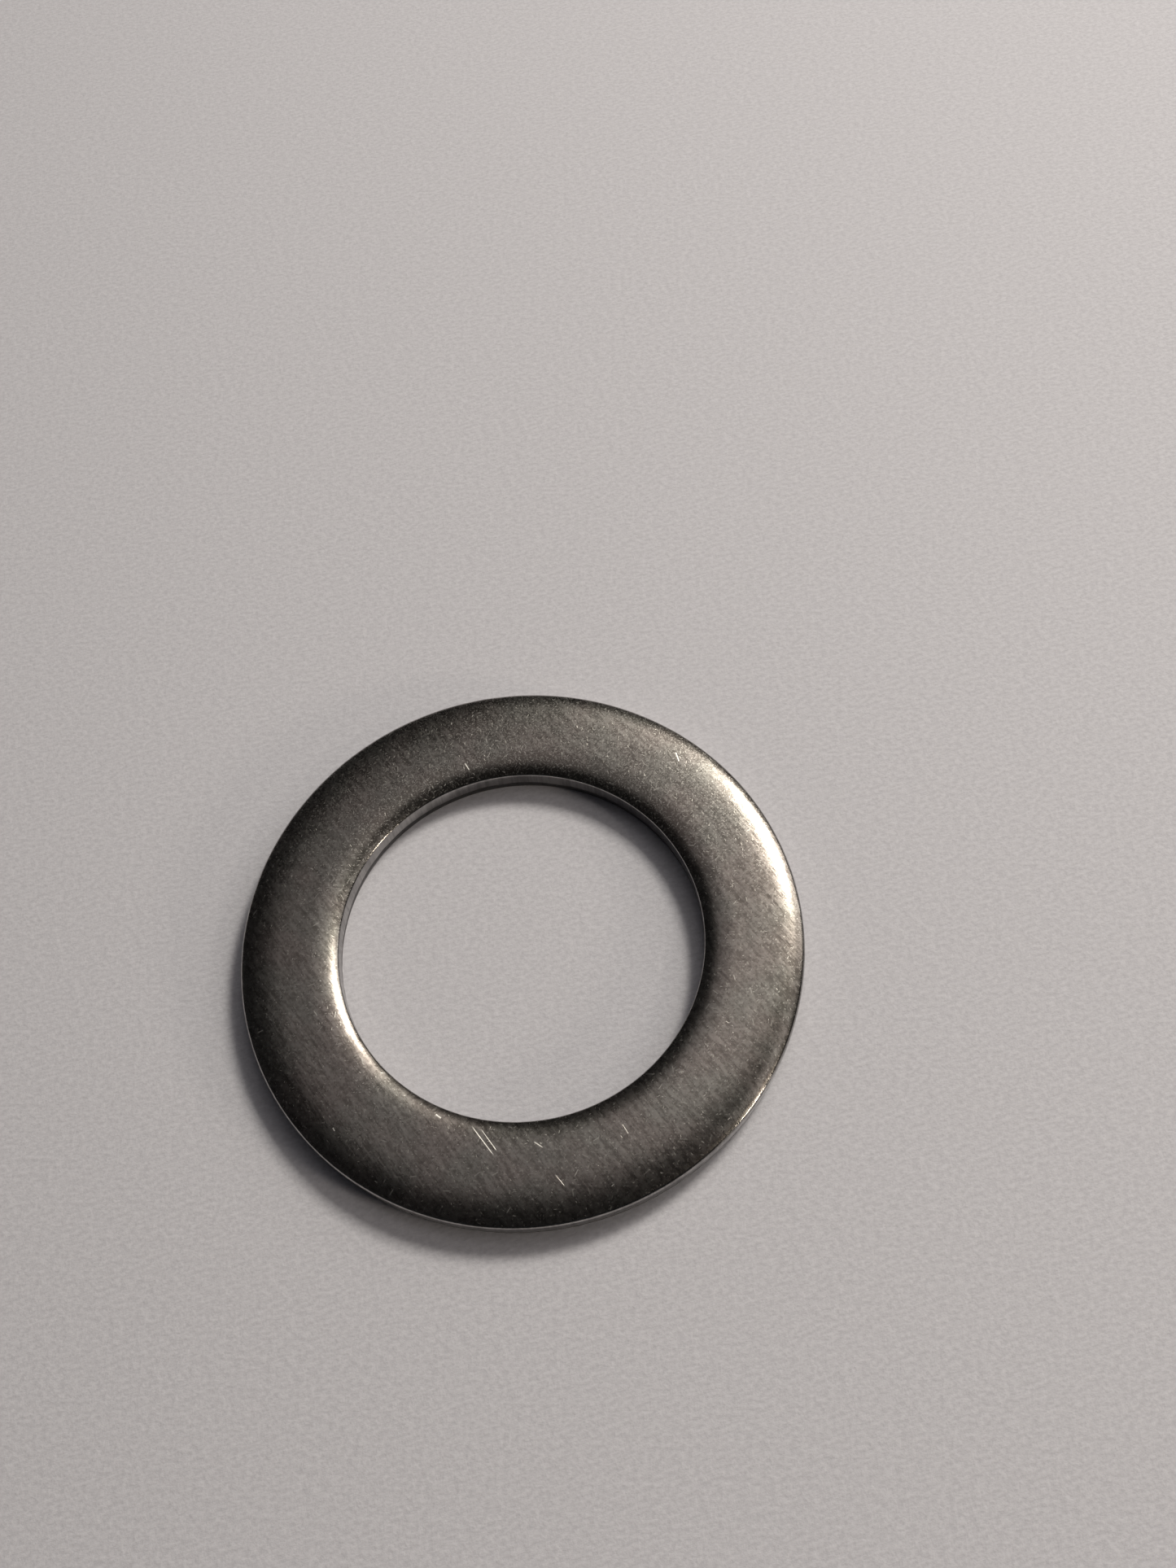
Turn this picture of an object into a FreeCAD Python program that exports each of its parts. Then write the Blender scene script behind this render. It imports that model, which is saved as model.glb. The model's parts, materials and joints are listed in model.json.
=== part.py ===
import FreeCAD, Part
import math
import os

# Flat washer, stamped in one blow from steel plate in a compound die, in millimetres.
# The origin is the middle of the lower face and +Z runs up the bore. The lower face is the one
# with the sharp edges. The upper face is the one that the die rolled over at the bore and at the rim.

# Overall sizes
OUTER_DIAMETER = 40.0
BORE_DIAMETER = 26.0
THICKNESS = 2.5

# Die roll, the rounding that the cut draws down along both edges of the upper face.
# Each roll leaves the face level and comes to its wall at a slope, in degrees below level.
RIM_ROLL_WIDTH = 3.7
RIM_ROLL_DEPTH = 0.55
RIM_ROLL_SLOPE = 30.0
BORE_ROLL_WIDTH = 2.4
BORE_ROLL_DEPTH = 0.52
BORE_ROLL_SLOPE = 33.0

# How far from their sharp corner the roll and the wall start to round into each other
RIM_CORNER_RUN = 0.2
BORE_CORNER_RUN = 0.1

# Fracture zone, the lower part of each cut wall, where the metal tore and the wall leans back
FRACTURE_HEIGHT = 0.9
RIM_FRACTURE_INSET = 0.14
BORE_FRACTURE_INSET = 0.12

# Small bevel that tumbling leaves on the two lower edges
TUMBLED_EDGE = 0.08

# Limits on what the two rolls may take of the stock, so that a flat ring and a land remain
WIDEST_ROLLS = 0.9
DEEPEST_ROLL = 0.8

# The longest that the sloping end of a roll may be, as a share of the roll's width
LONGEST_SLOPE = 0.95

# The longest that a rounded corner may be, as a share of that sloping end
LONGEST_CORNER = 0.9


def point(radius, height):
    """A point of the section, which lies in the XZ plane."""
    return FreeCAD.Vector(radius, 0, height)


def straight(start, end):
    """A straight edge of the section."""
    return Part.LineSegment(start, end).toShape()


def curve(start, bend, end):
    """A parabola of the section, which leaves its start and reaches its end in line with the bend."""
    parabola = Part.BezierCurve()
    parabola.setPoles([start, bend, end])
    return parabola.toShape()


def die_roll(face_edge, wall_corner, slope, corner_run):
    """The roll, from level at the face to that slope, and the rounded corner that ends it on the wall."""
    width = wall_corner.x - face_edge.x
    depth = face_edge.z - wall_corner.z
    sloping = min(depth / math.tan(math.radians(slope)), LONGEST_SLOPE * abs(width))
    bend = wall_corner + point(-math.copysign(sloping, width), depth)
    up_slope = bend - wall_corner
    run = min(corner_run, LONGEST_CORNER * up_slope.Length)
    corner_start = wall_corner + up_slope * (run / up_slope.Length)
    wall_top = wall_corner + point(0, -corner_run)
    return [curve(face_edge, bend, corner_start), curve(corner_start, wall_corner, wall_top)]


def washer_section():
    """The closed outline of the band between the bore and the rim, as a flat face."""
    rim = OUTER_DIAMETER / 2
    bore = BORE_DIAMETER / 2
    share = min(1.0, WIDEST_ROLLS * (rim - bore) / (RIM_ROLL_WIDTH + BORE_ROLL_WIDTH))
    above_fracture = THICKNESS - FRACTURE_HEIGHT
    rim_roll_depth = min(share * RIM_ROLL_DEPTH, DEEPEST_ROLL * above_fracture)
    bore_roll_depth = min(share * BORE_ROLL_DEPTH, DEEPEST_ROLL * above_fracture)

    bore_foot = point(bore + BORE_FRACTURE_INSET, TUMBLED_EDGE)
    bore_base = point(bore + BORE_FRACTURE_INSET + TUMBLED_EDGE, 0)
    rim_base = point(rim - RIM_FRACTURE_INSET - TUMBLED_EDGE, 0)
    rim_foot = point(rim - RIM_FRACTURE_INSET, TUMBLED_EDGE)
    rim_land_bottom = point(rim, FRACTURE_HEIGHT)
    rim_corner = point(rim, THICKNESS - rim_roll_depth)
    face_outer_edge = point(rim - share * RIM_ROLL_WIDTH, THICKNESS)
    face_inner_edge = point(bore + share * BORE_ROLL_WIDTH, THICKNESS)
    bore_corner = point(bore, THICKNESS - bore_roll_depth)
    bore_land_bottom = point(bore, FRACTURE_HEIGHT)
    rim_roll = die_roll(face_outer_edge, rim_corner, RIM_ROLL_SLOPE, RIM_CORNER_RUN)
    bore_roll = die_roll(face_inner_edge, bore_corner, BORE_ROLL_SLOPE, BORE_CORNER_RUN)

    edges = [
        straight(bore_foot, bore_base),
        straight(bore_base, rim_base),
        straight(rim_base, rim_foot),
        straight(rim_foot, rim_land_bottom),
        straight(rim_land_bottom, rim_corner + point(0, -RIM_CORNER_RUN)),
        *reversed(rim_roll),
        straight(face_outer_edge, face_inner_edge),
        *bore_roll,
        straight(bore_corner + point(0, -BORE_CORNER_RUN), bore_land_bottom),
        straight(bore_land_bottom, bore_foot),
    ]
    return Part.Face(Part.Wire(edges))


def washer():
    """The whole washer, its section turned once about the bore axis."""
    return washer_section().revolve(FreeCAD.Vector(0, 0, 0), FreeCAD.Vector(0, 0, 1), 360)


os.makedirs("parts", exist_ok=True)
solid = washer()
solid.exportStep("parts/washer.step")
print("washer", solid.ShapeType, "valid", solid.isValid(), "volume mm3", round(solid.Volume, 1))
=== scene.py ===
import json
import math

import bpy
import numpy as np
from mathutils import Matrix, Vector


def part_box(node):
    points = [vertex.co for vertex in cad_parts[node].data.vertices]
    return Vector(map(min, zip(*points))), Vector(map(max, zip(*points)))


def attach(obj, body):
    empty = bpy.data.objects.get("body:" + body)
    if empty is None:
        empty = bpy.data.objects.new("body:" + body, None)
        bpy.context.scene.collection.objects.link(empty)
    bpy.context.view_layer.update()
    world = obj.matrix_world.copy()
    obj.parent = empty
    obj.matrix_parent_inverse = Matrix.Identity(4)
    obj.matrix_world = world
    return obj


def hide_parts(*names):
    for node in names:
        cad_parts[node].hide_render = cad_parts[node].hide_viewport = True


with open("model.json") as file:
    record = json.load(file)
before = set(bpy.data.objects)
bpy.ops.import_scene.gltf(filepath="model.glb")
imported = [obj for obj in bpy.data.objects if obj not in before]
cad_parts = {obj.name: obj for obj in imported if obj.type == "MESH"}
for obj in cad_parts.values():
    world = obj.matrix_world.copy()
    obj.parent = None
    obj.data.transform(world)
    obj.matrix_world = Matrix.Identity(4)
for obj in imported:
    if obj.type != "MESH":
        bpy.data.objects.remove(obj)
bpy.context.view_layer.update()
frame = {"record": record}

# --- Washer ---------------------------------------------------------------------------------------
# One ring stamped from steel plate in a single blow. The die draws the upper face down at the bore
# and at the rim, the punch burnishes the top of each wall, and the rest of the wall tears away. It is
# then tumbled with others in a drum, which dulls it and covers it in short random scratches.

MM = 0.001
washer_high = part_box("washer")[1]
bore_mount = next(m for m in frame["record"]["mounts"] if m["name"] == "bore")
RIM_RADIUS = max(washer_high[0], washer_high[1])
BORE_RADIUS = bore_mount["dims"]["r_mm"] * MM
THICKNESS = washer_high[2]

RIM_ROLL = {"width": 3.7 * MM, "depth": 0.55 * MM, "slope": 30, "corner": 0.2 * MM}
BORE_ROLL = {"width": 2.4 * MM, "depth": 0.52 * MM, "slope": 33, "corner": 0.1 * MM}
FRACTURE_HEIGHT = 0.9 * MM
RIM_FRACTURE_INSET = 0.14 * MM
BORE_FRACTURE_INSET = 0.12 * MM
TUMBLED_EDGE = 0.08 * MM

RING_STEPS = 1040
TUMBLED, SHEARED = 0, 1
RIM_TEAR_SEED, BORE_TEAR_SEED = 11, 21

# How far the torn zone's curve bulges short of the land, and how far wear and tear push the surface
TEAR_BULGE = 0.02 * MM
WAVE_PUSH = 0.001 * MM
DRAG_PUSH = 0.0025 * MM
GRAIN_PUSH = 0.014 * MM


def smooth_noise(place, cell, seed):
    """Value noise from -1 to 1. Each corner of a cubic lattice holds a random number, and a point
    mixes the eight corners of its cell, with weights that ease in and out at the cell's walls."""
    size = 64
    table = np.random.default_rng(seed).uniform(-1, 1, (size, size, size))
    in_cells = np.asarray(place) / cell
    corner = np.floor(in_cells).astype(int)
    part = in_cells - corner
    part = part * part * (3 - 2 * part)
    total = 0
    for offset in np.ndindex(2, 2, 2):
        weight = 1
        for axis in range(3):
            weight = weight * (part[axis] if offset[axis] else 1 - part[axis])
        index = [(corner[axis] + offset[axis]) % size for axis in range(3)]
        total = total + weight * table[index[0], index[1], index[2]]
    return total


def around(turn, pitch, seed, radius):
    """Noise that depends only on the angle, with bumps about one pitch apart along that radius."""
    ring = [radius * np.cos(turn), radius * np.sin(turn), 0 * turn]
    return smooth_noise(ring, pitch, seed)


def torn_height(turn, radius, seed):
    """Where the burnished land ends and the tear begins: the mean height with a ragged edge."""
    coarse = around(turn, 2.6 * MM, seed, radius)
    fine = around(turn, 0.5 * MM, seed + 1, radius)
    return FRACTURE_HEIGHT + 0.07 * MM * coarse + 0.05 * MM * fine


def roll_bend(roll, face_edge, outwards):
    """Where the level start and the sloping end of a die roll would meet, were it not curved."""
    level = roll["width"] - roll["depth"] / math.tan(math.radians(roll["slope"]))
    return face_edge + outwards * level, THICKNESS


def shoulder(roll, face_edge, outwards):
    """Where the roll's sloping end starts to round into the wall, one corner's run up the slope."""
    slope, run = math.radians(roll["slope"]), roll["corner"]
    radius = face_edge + outwards * (roll["width"] - run * math.cos(slope))
    return radius, THICKNESS - roll["depth"] + run * math.sin(slope)


def section(turn):
    """Radius, height and zone of each point of the section at each angle, one row per point, out along
    the lower face, up the rim, in over the upper face and down the bore. Each stretch is a parabola
    with its start, its bend and its end given, and a straight stretch has no bend."""
    rim, bore = RIM_RADIUS, BORE_RADIUS
    rim_foot, bore_foot = rim - RIM_FRACTURE_INSET, bore + BORE_FRACTURE_INSET
    rim_tear = torn_height(turn, rim, RIM_TEAR_SEED)
    bore_tear = torn_height(turn, bore, BORE_TEAR_SEED)
    rim_top, bore_top = THICKNESS - RIM_ROLL["depth"], THICKNESS - BORE_ROLL["depth"]
    face_outer, face_inner = rim - RIM_ROLL["width"], bore + BORE_ROLL["width"]

    rim_base = (rim_foot - TUMBLED_EDGE, 0)
    bore_base = (bore_foot + TUMBLED_EDGE, 0)
    rim_shoulder = shoulder(RIM_ROLL, face_outer, 1)
    bore_shoulder = shoulder(BORE_ROLL, face_inner, -1)
    stretches = [
        (7, TUMBLED, bore_base, None),
        (4, TUMBLED, rim_base, (rim_foot, 0)),
        (10, SHEARED, (rim_foot, TUMBLED_EDGE), (rim - TEAR_BULGE, rim_tear / 2)),
        (5, SHEARED, (rim, rim_tear), None),
        (8, SHEARED, (rim, rim_top - RIM_ROLL["corner"]), (rim, rim_top)),
        (17, TUMBLED, rim_shoulder, roll_bend(RIM_ROLL, face_outer, 1)),
        (9, TUMBLED, (face_outer, THICKNESS), None),
        (15, TUMBLED, (face_inner, THICKNESS), roll_bend(BORE_ROLL, face_inner, -1)),
        (4, SHEARED, bore_shoulder, (bore, bore_top)),
        (5, SHEARED, (bore, bore_top - BORE_ROLL["corner"]), None),
        (8, SHEARED, (bore, bore_tear), (bore + TEAR_BULGE, bore_tear / 2)),
        (4, TUMBLED, (bore_foot, TUMBLED_EDGE), (bore_foot, 0)),
    ]
    radii, heights, zones = [], [], []
    for number, (count, zone, start, bend) in enumerate(stretches):
        end = stretches[(number + 1) % len(stretches)][2]
        bend = bend or ((start[0] + end[0]) / 2, (start[1] + end[1]) / 2)
        t = (np.arange(count) / count)[:, None]
        for values, axis in ((radii, 0), (heights, 1)):
            curve = (1 - t) ** 2 * start[axis] + 2 * t * (1 - t) * bend[axis] + t**2 * end[axis]
            values.append(np.broadcast_to(curve, (count, turn.size)))
        zones.append(np.full(count, zone))
    return np.concatenate(radii), np.concatenate(heights), np.concatenate(zones)


def strip_uv(rows, steps, length_along):
    """Where each corner of each face lies on the flat map, as strips of the unrolled ring, one above
    the other: across a strip runs a share of the circle, and up it runs the length of the section."""
    strips, gap = 4, 0.012
    per_strip = steps // strips
    row, step, corner = np.meshgrid(np.arange(rows), np.arange(steps), np.arange(4), indexing="ij")
    strip = step // per_strip
    across = step % per_strip + np.array([0, 1, 1, 0])[corner]
    up = length_along[row + np.array([0, 0, 1, 1])[corner]]
    u = gap + (1 - 2 * gap) * across / per_strip
    v = (strip + gap * strips + (1 - 2 * gap * strips) * up / length_along[-1]) / strips
    return np.stack([u, v], axis=-1)


def ring_mesh(name):
    """The section carried once round the bore axis and pushed along its own normal by what wear and
    tear did: slow waves and dents of tumbling, upright drag lines on the lands, torn grain below."""
    turn = np.arange(RING_STEPS) * 2 * math.pi / RING_STEPS
    radius, height, zone = section(turn)
    place = [radius * np.cos(turn), radius * np.sin(turn), height]

    along_r = np.roll(radius, -1, 0) - np.roll(radius, 1, 0)
    along_z = np.roll(height, -1, 0) - np.roll(height, 1, 0)
    length = np.hypot(along_r, along_z)
    out_r, out_z = along_z / length, -along_r / length

    wall = (zone == SHEARED)[:, None]
    middle = (RIM_RADIUS + BORE_RADIUS) / 2
    rim_tear = torn_height(turn, RIM_RADIUS, RIM_TEAR_SEED)
    bore_tear = torn_height(turn, BORE_RADIUS, BORE_TEAR_SEED)
    tear = np.where(radius > middle, rim_tear, bore_tear)
    torn = np.where(wall, np.clip((tear - height) / (0.08 * MM), 0, 1), 0)
    above_base = np.clip(height / (0.3 * MM), 0, 1)
    waves = 2.2 * smooth_noise(place, 1.9 * MM, 31) + 1.1 * smooth_noise(place, 0.7 * MM, 32)
    drag = around(turn, 0.32 * MM, 33, RIM_RADIUS) + around(turn, 0.9 * MM, 34, RIM_RADIUS)
    grain = smooth_noise(place, 0.3 * MM, 35) + 0.6 * smooth_noise(place, 0.16 * MM, 36)
    push = WAVE_PUSH * waves * above_base
    push = push + np.where(wall, DRAG_PUSH * drag * (1 - torn), 0)
    push = push + GRAIN_PUSH * grain * torn
    radius = radius + out_r * push
    height = height + out_z * push

    rows, steps = radius.shape
    points = np.stack([radius * np.cos(turn), radius * np.sin(turn), height], axis=-1)
    row, step = np.meshgrid(np.arange(rows), np.arange(steps), indexing="ij")
    next_row, next_step = (row + 1) % rows, (step + 1) % steps
    corners = [(row, step), (row, next_step), (next_row, next_step), (next_row, step)]
    quads = np.stack([r * steps + s for r, s in corners], axis=-1)

    mesh = bpy.data.meshes.new(name)
    mesh.vertices.add(rows * steps)
    mesh.vertices.foreach_set("co", points.ravel())
    mesh.loops.add(quads.size)
    mesh.loops.foreach_set("vertex_index", quads.ravel())
    mesh.polygons.add(rows * steps)
    mesh.polygons.foreach_set("loop_start", np.arange(rows * steps) * 4)
    mesh.polygons.foreach_set("material_index", np.repeat(zone, steps))
    mesh.polygons.foreach_set("use_smooth", np.ones(rows * steps, bool))
    mesh.update(calc_edges=True)
    length_along = np.concatenate([[0], np.cumsum(length.mean(axis=1))])
    flat_map = mesh.uv_layers.new(name="OFBake")
    flat_map.data.foreach_set("uv", strip_uv(rows, steps, length_along).ravel())
    torn_share = mesh.attributes.new("torn", "FLOAT", "POINT")
    torn_share.data.foreach_set("value", torn.ravel())
    return mesh


def add_node(tree, kind, inputs=None, **settings):
    """A node with those settings, each input given either its value or the socket that feeds it."""
    node = tree.nodes.new(kind)
    for name, value in settings.items():
        setattr(node, name, value)
    for name, value in (inputs or {}).items():
        if isinstance(value, bpy.types.NodeSocket):
            tree.links.new(value, node.inputs[name])
        else:
            node.inputs[name].default_value = value
    return node


def calculate(tree, operation, *values):
    """The result of a Math node on sockets and numbers."""
    return add_node(tree, "ShaderNodeMath", dict(enumerate(values)), operation=operation).outputs[0]


def vector(tree, operation, *values):
    """The result of a Vector Math node on sockets and triples of numbers."""
    node = add_node(tree, "ShaderNodeVectorMath", dict(enumerate(values)), operation=operation)
    return node.outputs["Vector"]


def scaled(tree, place, scale):
    """That place times that scale."""
    node = add_node(tree, "ShaderNodeVectorMath", {0: place, "Scale": scale}, operation="SCALE")
    return node.outputs["Vector"]


def turned(tree, place, angle):
    """That place turned about Z by that angle in radians."""
    node = add_node(
        tree, "ShaderNodeVectorRotate", {"Vector": place, "Angle": angle}, rotation_type="Z_AXIS")
    return node.outputs["Vector"]


def coordinate(tree, place, letter):
    """One coordinate of a place."""
    return add_node(tree, "ShaderNodeSeparateXYZ", {"Vector": place}).outputs[letter]


def noise(tree, place, scale, detail=2.0, roughness=0.5):
    """Soft noise from 0 to 1, with that many bumps to the metre."""
    shape = {"Vector": place, "Scale": scale, "Detail": detail, "Roughness": roughness}
    return add_node(tree, "ShaderNodeTexNoise", shape).outputs["Fac"]


def stretched_noise(tree, place, degrees, scale, stretch, detail=2.0):
    """Noise with its bumps drawn out that many times along a line at those degrees from X."""
    in_line = turned(tree, place, -math.radians(degrees))
    return noise(tree, vector(tree, "MULTIPLY", in_line, (1 / stretch, 1, 1)), scale, detail)


def fade(tree, value, start, end):
    """0 up to the start, 1 from the end, and a smooth step between; downward if the end is lower."""
    sides = {"From Min": min(start, end), "From Max": max(start, end)}
    sides["To Min"], sides["To Max"] = (0, 1) if start < end else (1, 0)
    sides["Value"] = value
    return add_node(tree, "ShaderNodeMapRange", sides, interpolation_type="SMOOTHSTEP").outputs["Result"]


def tint(tree, share, low, high, blend_type="MIX"):
    """A colour between two, by that share. Each is a triple of numbers or the socket that holds it."""
    ends = {"Factor": share}
    for name, colour in (("A", low), ("B", high)):
        ends[name] = (*colour, 1) if isinstance(colour, tuple) else colour
    return add_node(tree, "ShaderNodeMix", ends, data_type="RGBA", blend_type=blend_type).outputs["Result"]


def new_effect(name, inputs, outputs):
    """A node group with those named inputs, each with its usual value, and those outputs."""
    effect = bpy.data.node_groups.new(name, "ShaderNodeTree")
    for label, value in inputs.items():
        kind = "NodeSocketFloat" if isinstance(value, (int, float)) else "NodeSocketVector"
        socket = effect.interface.new_socket(label, in_out="INPUT", socket_type=kind)
        if kind == "NodeSocketFloat":
            socket.default_value = value
    for label in outputs:
        effect.interface.new_socket(label, in_out="OUTPUT", socket_type="NodeSocketFloat")
    start, end = effect.nodes.new("NodeGroupInput"), effect.nodes.new("NodeGroupOutput")
    return effect, start.outputs, end.inputs


def effect_node(tree, effect, inputs):
    """The outputs of a node group placed in a material with its own values."""
    return add_node(tree, "ShaderNodeGroup", inputs, node_tree=effect).outputs


def plate_grain_effect():
    """Grain of the rolled plate: long fine streaks along one line across the whole washer."""
    effect, given, result = new_effect("plate_grain", {"Place": (), "Strength": 1.0}, ["Height"])
    streaks = stretched_noise(effect, given["Place"], -52, 7500, 9)
    broad = stretched_noise(effect, given["Place"], -49, 2800, 6)
    both = calculate(effect, "ADD", streaks, broad)
    effect.links.new(calculate(effect, "MULTIPLY", both, given["Strength"]), result["Height"])
    return effect


def tumble_marks_effect():
    """Tumbling marks: a random packing of cells, and in a share of them one short dash, turned at
    random. The dash's half length and half width are shares of a cell."""
    usual = {"Place": (), "Cells per metre": 2600, "Half length": 0.32, "Half width": 0.075, "Share": 0.75}
    effect, given, result = new_effect("tumble_marks", usual, ["Mark"])
    scale = given["Cells per metre"]
    cells = add_node(effect, "ShaderNodeTexVoronoi", {"Vector": given["Place"], "Scale": scale}, feature="F1")
    chance = add_node(effect, "ShaderNodeSeparateColor", {"Color": cells.outputs["Color"]}).outputs
    place_in_cells = scaled(effect, given["Place"], scale)
    from_middle = vector(effect, "SUBTRACT", place_in_cells, scaled(effect, cells.outputs["Position"], scale))
    spun = turned(effect, from_middle, calculate(effect, "MULTIPLY", chance["Red"], math.pi))
    off_x = calculate(effect, "ABSOLUTE", coordinate(effect, spun, "X"))
    off_y = calculate(effect, "ABSOLUTE", coordinate(effect, spun, "Y"))
    along = fade(effect, calculate(effect, "DIVIDE", off_x, given["Half length"]), 1.0, 0.6)
    across = fade(effect, calculate(effect, "DIVIDE", off_y, given["Half width"]), 1.0, 0.3)
    kept = calculate(effect, "LESS_THAN", chance["Green"], given["Share"])
    depth = calculate(effect, "MULTIPLY_ADD", calculate(effect, "POWER", chance["Blue"], 4.0), 0.65, 0.35)
    dash = calculate(effect, "MULTIPLY", calculate(effect, "MULTIPLY", along, across), kept)
    effect.links.new(calculate(effect, "MULTIPLY", dash, depth), result["Mark"])
    return effect


def score_mark_effect():
    """A single score mark: one straight thin line at that place, at those degrees from X."""
    usual = {"Place": (), "Middle": (), "Degrees": 0.0, "Half length": 1.0 * MM, "Half width": 0.04 * MM}
    effect, given, result = new_effect("score_mark", usual, ["Mark"])
    offset = vector(effect, "SUBTRACT", given["Place"], given["Middle"])
    turn_back = calculate(effect, "RADIANS", calculate(effect, "MULTIPLY", given["Degrees"], -1.0))
    lined_up = turned(effect, offset, turn_back)
    off_x = calculate(effect, "ABSOLUTE", coordinate(effect, lined_up, "X"))
    off_y = calculate(effect, "ABSOLUTE", coordinate(effect, lined_up, "Y"))
    along = fade(effect, calculate(effect, "DIVIDE", off_x, given["Half length"]), 1.0, 0.7)
    across = fade(effect, calculate(effect, "DIVIDE", off_y, given["Half width"]), 1.0, 0.2)
    effect.links.new(calculate(effect, "MULTIPLY", along, across), result["Mark"])
    return effect


def cloudy_stain_effect():
    """Cloudy staining: in specks, in drawn-out patches under a millimetre wide and in broad ones."""
    effect, given, result = new_effect("cloudy_stain", {"Place": ()}, ["Small", "Middling", "Broad"])
    effect.links.new(noise(effect, given["Place"], 3600, 3, 0.75), result["Small"])
    effect.links.new(stretched_noise(effect, given["Place"], -50, 2400, 2.6, 3.0), result["Middling"])
    effect.links.new(noise(effect, given["Place"], 260), result["Broad"])
    return effect


def new_material(name, metallic):
    """A material's node tree, its Principled BSDF and the piece's own coordinates."""
    material = bpy.data.materials.new(name)
    material.use_nodes = True
    tree = material.node_tree
    shader = tree.nodes["Principled BSDF"]
    shader.inputs["Metallic"].default_value = metallic
    return material, tree, shader, tree.nodes.new("ShaderNodeTexCoord").outputs["Object"]


def add_bump(tree, shader, height, distance):
    """A bump from that height that feeds the shader's normal, on top of any bump already there."""
    bump = add_node(tree, "ShaderNodeBump", {"Height": height, "Distance": distance, "Strength": 1.0})
    if shader.inputs["Normal"].links:
        tree.links.new(shader.inputs["Normal"].links[0].from_socket, bump.inputs["Normal"])
    tree.links.new(bump.outputs["Normal"], shader.inputs["Normal"])


def all_scores(tree, place):
    """The few long scores on the upper face, each with its middle in mm, its degrees from X, and half
    its length and half its width in mm."""
    effect = score_mark_effect()
    scores = 0.0
    for middle_x, middle_y, degrees, half_length, half_width in (
        (-2.15, -14.35, -52, 1.35, 0.05),
        (-1.75, -14.3, -53, 1.0, 0.035),
        (-4.25, 13.65, -58, 0.35, 0.06),
        (11.5, 14.0, -74, 0.45, 0.05),
        (-5.2, -12.65, -35, 0.25, 0.08),
        (1.55, -14.65, -33, 0.4, 0.05),
        (7.3, -13.7, -58, 0.4, 0.02),
        (3.0, -17.0, -50, 0.5, 0.02),
        (-12.2, -13.45, -60, 0.15, 0.05),
    ):
        mark = effect_node(tree, effect, {
            "Place": place, "Middle": (middle_x * MM, middle_y * MM, 0), "Degrees": degrees,
            "Half length": half_length * MM, "Half width": half_width * MM})["Mark"]
        scores = calculate(tree, "MAXIMUM", scores, mark)
    return scores


def tumbled_steel():
    """The two faces, the rolls and the edges: dull stained grey with fine grain, brighter and a little
    rougher where a dash or a score has cut it. The dashes are denser towards +Y, and on that side
    the colour of the bore's roll is darkened as painted shade."""
    material, tree, shader, place = new_material("tumbled_steel", 1.0)
    stain = effect_node(tree, cloudy_stain_effect(), {"Place": place})
    grain = effect_node(tree, plate_grain_effect(), {"Place": place, "Strength": 0.5})["Height"]
    far_side = fade(tree, coordinate(tree, place, "Y"), 0, 13 * MM)
    marks = tumble_marks_effect()
    dashes = effect_node(tree, marks, {
        "Place": place, "Share": calculate(tree, "MULTIPLY_ADD", far_side, 0.85, 0.12)})["Mark"]
    fine_dashes = effect_node(tree, marks, {
        "Place": place, "Cells per metre": 5000, "Half length": 0.4, "Half width": 0.13,
        "Share": calculate(tree, "MULTIPLY_ADD", far_side, 0.65, 0.2)})["Mark"]
    large_dashes = effect_node(tree, marks, {
        "Place": place, "Cells per metre": 900, "Half length": 0.25, "Half width": 0.035,
        "Share": 0.2})["Mark"]
    bright = calculate(tree, "MAXIMUM", calculate(tree, "MAXIMUM", dashes, fine_dashes), large_dashes)
    scores = all_scores(tree, place)

    speckled = calculate(tree, "MULTIPLY_ADD", grain, 0.35, calculate(tree, "MULTIPLY", stain["Small"], 0.5))
    clouded = calculate(tree, "MULTIPLY_ADD", stain["Middling"], 0.3, speckled)
    from_middle = add_node(tree, "ShaderNodeVectorMath", {0: place}, operation="LENGTH").outputs["Value"]
    # Painted shade: the bore's roll is darkened in colour on the far side (+Y).
    in_bore_roll = fade(tree, from_middle, 15.6 * MM, 14.3 * MM)
    painted_shade = calculate(tree, "MULTIPLY", calculate(tree, "MULTIPLY", in_bore_roll, far_side), 0.7)
    stain_paleness_less_shade = calculate(tree, "SUBTRACT", fade(tree, clouded, 0.42, 0.74), painted_shade)
    stained_and_shaded = tint(tree, stain_paleness_less_shade, (0.145, 0.13, 0.122), (0.315, 0.291, 0.281))
    broad_tone = tint(tree, fade(tree, stain["Broad"], 0.35, 0.65), (1.0, 0.975, 0.955), (0.965, 1.0, 0.97))
    toned = tint(tree, 1.0, stained_and_shaded, broad_tone, "MULTIPLY")
    worn = tint(tree, bright, toned, (0.68, 0.66, 0.625))
    scored = tint(tree, scores, worn, (0.95, 0.93, 0.89))
    tree.links.new(scored, shader.inputs["Base Color"])

    stained_rough = calculate(tree, "MULTIPLY_ADD", clouded, 0.12, 0.206)
    worn_rough = calculate(tree, "MULTIPLY_ADD", bright, 0.16, stained_rough)
    tree.links.new(calculate(tree, "MULTIPLY_ADD", scores, 0.2, worn_rough), shader.inputs["Roughness"])
    dash_floor = calculate(tree, "MULTIPLY", dashes, -1.0)
    score_floor = calculate(tree, "MULTIPLY", scores, -1.5)
    add_bump(tree, shader, stain["Small"], 0.004 * MM)
    add_bump(tree, shader, grain, 0.009 * MM)
    add_bump(tree, shader, calculate(tree, "ADD", dash_floor, score_floor), 0.004 * MM)
    return material


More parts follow.
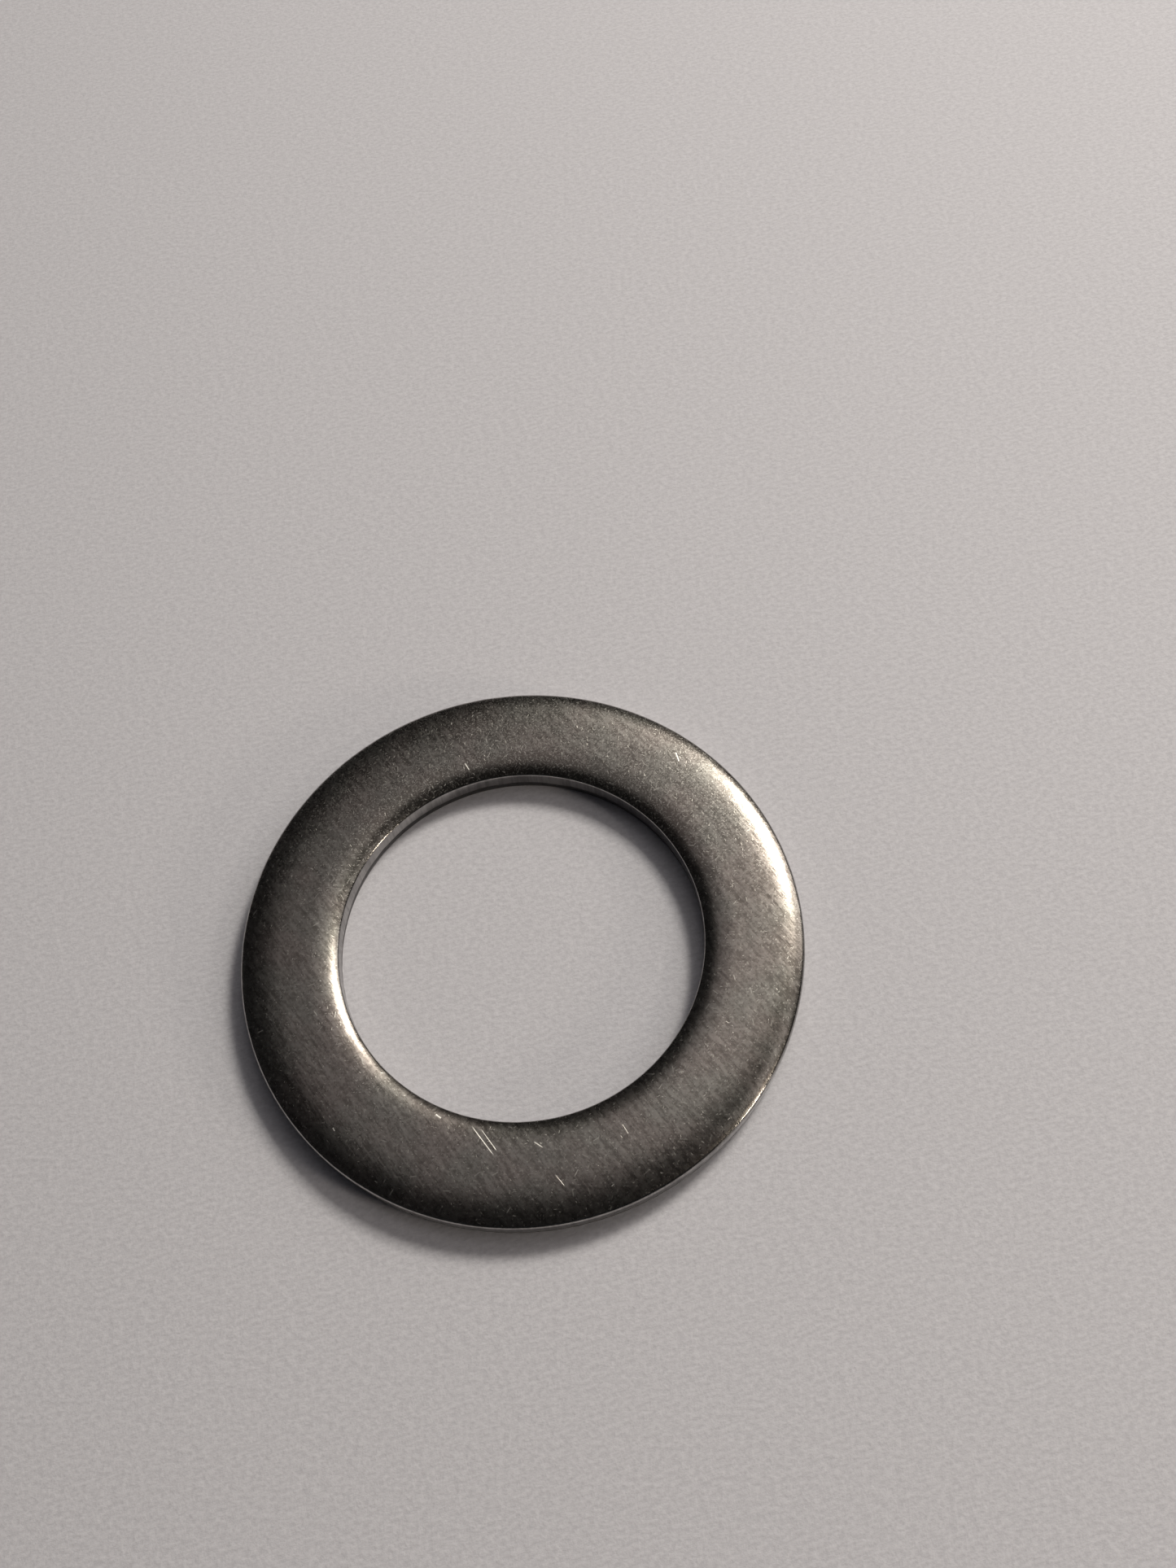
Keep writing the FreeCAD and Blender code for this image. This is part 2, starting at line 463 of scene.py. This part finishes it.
def sheared_steel():
    """The two walls: burnished above in upright drag lines, and dull torn crumbs below, their colour
    darkened further as painted shade where the walls meet the paper.
    """
    material, tree, shader, place = new_material("sheared_steel", 1.0)
    torn_part = add_node(tree, "ShaderNodeAttribute", attribute_name="torn").outputs["Fac"]
    land_part = calculate(tree, "SUBTRACT", 1.0, torn_part)
    upright = vector(tree, "MULTIPLY", place, (1, 1, 0.05))
    drag_lines = calculate(tree, "ADD", noise(tree, upright, 6000), noise(tree, upright, 1500, 1))
    crumbs = noise(tree, place, 5200, 4)
    land_colour = tint(tree, fade(tree, drag_lines, 0.7, 1.3), (0.25, 0.24, 0.232), (0.4, 0.388, 0.375))
    # Torn zone: a duller fracture tone, darkened further as painted shade at the foot of the walls.
    torn_tone_and_shade = tint(tree, crumbs, (0.04, 0.039, 0.038), (0.11, 0.107, 0.105))
    tree.links.new(tint(tree, torn_part, land_colour, torn_tone_and_shade), shader.inputs["Base Color"])
    tree.links.new(calculate(tree, "MULTIPLY_ADD", torn_part, 0.3, 0.16), shader.inputs["Roughness"])
    add_bump(tree, shader, calculate(tree, "MULTIPLY", drag_lines, land_part), 0.008 * MM)
    add_bump(tree, shader, calculate(tree, "MULTIPLY", crumbs, torn_part), 0.03 * MM)
    return material


ring = bpy.data.objects.new("stamped_ring", ring_mesh("stamped_ring"))
bpy.context.collection.objects.link(ring)
ring.data.materials.append(tumbled_steel())
ring.data.materials.append(sheared_steel())

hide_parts("washer")
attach(ring, "root")

# --- Paper ----------------------------------------------------------------------------------------
# One flat sheet of plain white paper under the washer.
PAPER_HALF = 0.3


def white_paper():
    """Uncoated paper: pulp and fibres that show as a faint tone and a low relief, with a few specks."""
    material, tree, shader, place = new_material("paper", 0.0)
    fibres = stretched_noise(tree, place, 20, 4200, 2.5)
    pulp_and_fibres = calculate(tree, "ADD", noise(tree, place, 3000, 3, 0.7), fibres)
    speck_cells = add_node(tree, "ShaderNodeTexVoronoi", {"Vector": place, "Scale": 90}, feature="F1")
    chance = add_node(tree, "ShaderNodeSeparateColor", {"Color": speck_cells.outputs["Color"]}).outputs["Red"]
    speck_size = calculate(tree, "MULTIPLY", fade(tree, chance, 0.35, 1.0), 0.016)
    specks = calculate(tree, "LESS_THAN", speck_cells.outputs["Distance"], speck_size)
    tone = tint(tree, fade(tree, pulp_and_fibres, 0.7, 1.3), (0.66, 0.65, 0.712), (0.765, 0.755, 0.822))
    specked = tint(tree, calculate(tree, "MULTIPLY", specks, 0.5), tone, (0.25, 0.22, 0.2))
    tree.links.new(specked, shader.inputs["Base Color"])
    shader.inputs["Roughness"].default_value = 0.9
    shader.inputs["Specular IOR Level"].default_value = 0.2
    add_bump(tree, shader, pulp_and_fibres, 0.03 * MM)
    return material


paper_mesh = bpy.data.meshes.new("paper")
paper_corners = [(-1, -1), (1, -1), (1, 1), (-1, 1)]
paper_mesh.from_pydata([(PAPER_HALF * x, PAPER_HALF * y, 0) for x, y in paper_corners], [], [(0, 1, 2, 3)])
paper = bpy.data.objects.new("paper", paper_mesh)
bpy.context.collection.objects.link(paper)
paper.data.materials.append(white_paper())

# --- Camera ---------------------------------------------------------------------------------------
# A wide lens close above the near side of the washer, looking down at it.
camera_data = bpy.data.cameras.new("camera")
camera_data.sensor_width = 36
camera_data.lens = 33.6
camera_data.clip_start = 0.001
camera = bpy.data.objects.new("camera", camera_data)
camera.location = (10.19 * MM, -36.86 * MM, 99.1 * MM)
camera.rotation_euler = (math.radians(26.74), math.radians(3.186), 0)
bpy.context.collection.objects.link(camera)
bpy.context.scene.camera = camera

# --- Light ----------------------------------------------------------------------------------------
# One strong soft box behind and to the right, weak ones around it, and a small warm one at the right.
world = bpy.data.worlds.new("room")
world.use_nodes = True
world.node_tree.nodes["Background"].inputs["Color"].default_value = (0.02, 0.02, 0.021, 1)
bpy.context.scene.world = world
bpy.context.scene.view_settings.view_transform = "Standard"


def soft_light(name, azimuth, elevation, distance, size, watts, colour):
    """A square soft box that stands at that azimuth and elevation and faces the washer."""
    data = bpy.data.lights.new(name, "AREA")
    data.size = size
    data.energy = watts
    data.color = colour
    light = bpy.data.objects.new(name, data)
    flat = math.cos(math.radians(elevation))
    light.location = (
        distance * flat * math.cos(math.radians(azimuth)),
        distance * flat * math.sin(math.radians(azimuth)),
        distance * math.sin(math.radians(elevation)),
    )
    light.rotation_euler = (math.radians(90 - elevation), 0, math.radians(azimuth + 90))
    bpy.context.collection.objects.link(light)


soft_light("window", 51, 44, 0.7, 0.17, 2.72, (1, 0.948, 0.83))
soft_light("window_foot", 33, 29, 0.5, 0.2, 0.36, (1, 0.95, 0.86))
soft_light("far_wall", 76, 48, 0.5, 0.18, 0.13, (1, 0.95, 0.88))
soft_light("far_ceiling", 60, 70, 0.5, 0.14, 0.055, (1, 0.95, 0.89))
soft_light("near_wall", -2, 52, 0.5, 0.16, 0.085, (1, 0.95, 0.89))
soft_light("ceiling", 112, 73, 0.5, 0.24, 0.074, (1, 0.94, 0.92))
soft_light("lamp", -24, 16, 0.5, 0.06, 0.34, (1, 0.88, 0.72))
soft_light("lamp_shade", -19, 35, 0.5, 0.05, 0.12, (1, 0.9, 0.76))
